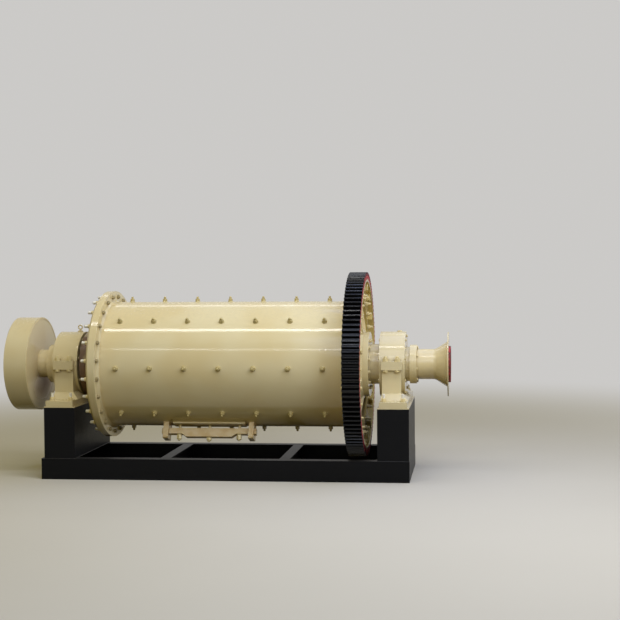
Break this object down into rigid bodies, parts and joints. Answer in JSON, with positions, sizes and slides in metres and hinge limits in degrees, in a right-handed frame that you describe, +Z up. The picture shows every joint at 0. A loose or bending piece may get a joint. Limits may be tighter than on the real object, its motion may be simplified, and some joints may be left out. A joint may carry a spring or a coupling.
{
  "type": "ball mill",
  "caption": "Small trunnion-mounted ball mill on a steel skid: bolted drum with girth gear, drum feeder and discharge trumpet.",
  "frame": {"origin": "on the floor under the middle of the whole machine", "axes": "+X along the mill axis from feed to discharge, +Z up, the seen side faces -Y"},
  "size_m": [3.226, 1.3436, 1.472],
  "materials": {
    "cream_paint": "glossy cream enamel",
    "black_paint": "satin black enamel",
    "greased_gear": "black grease over cut teeth",
    "liner_iron": "rough cast",
    "bush_bronze": "machined",
    "red_paint": "red primer"
  },
  "bodies": {
    "skid": {"front_beam": "black_paint", "rear_beam": "black_paint", "feed_end_beam": "black_paint", "discharge_end_beam": "black_paint", "middle_cross_beams": "black_paint", "feed_pedestal": "black_paint", "discharge_pedestal": "black_paint", "feed_sole_plate": "cream_paint", "discharge_sole_plate": "cream_paint", "feed_bearing_base": "cream_paint", "feed_bearing_cap": "cream_paint", "feed_bearing_bush": "bush_bronze", "feed_inner_cover": "cream_paint", "feed_outer_cover": "cream_paint", "feed_lifting_eye": "cream_paint", "discharge_bearing_base": "cream_paint", "discharge_bearing_cap": "cream_paint", "discharge_bearing_bush": "bush_bronze", "discharge_inner_cover": "cream_paint", "discharge_outer_cover": "cream_paint"},
    "drum": {"shell": "cream_paint", "feed_shell_flange": "cream_paint", "discharge_shell_flange": "cream_paint", "shell_liner": "liner_iron", "feed_head": "cream_paint", "discharge_head": "cream_paint", "feed_head_liner": "liner_iron", "discharge_head_liner": "liner_iron", "feed_trunnion": "cream_paint", "discharge_trunnion": "cream_paint", "girth_gear": "greased_gear", "feeder_rim": "cream_paint", "feeder_inner_face": "cream_paint", "feeder_outer_face": "cream_paint", "feeder_hub": "cream_paint", "feeder_scoop": "cream_paint", "discharge_trumpet": "cream_paint", "trumpet_slinger": "cream_paint", "trumpet_lip": "red_paint", "manhole_cover": "cream_paint", "manhole_pad": "cream_paint", "manhole_bar": "cream_paint", "manhole_brackets": "cream_paint"}
  },
  "joints": [
    {"name": "mill_rotation", "type": "hinge", "parent": "skid", "child": "drum", "pos_m": [0, 0, 0.8], "axis": [1, 0, 0], "continuous": true}
  ]
}
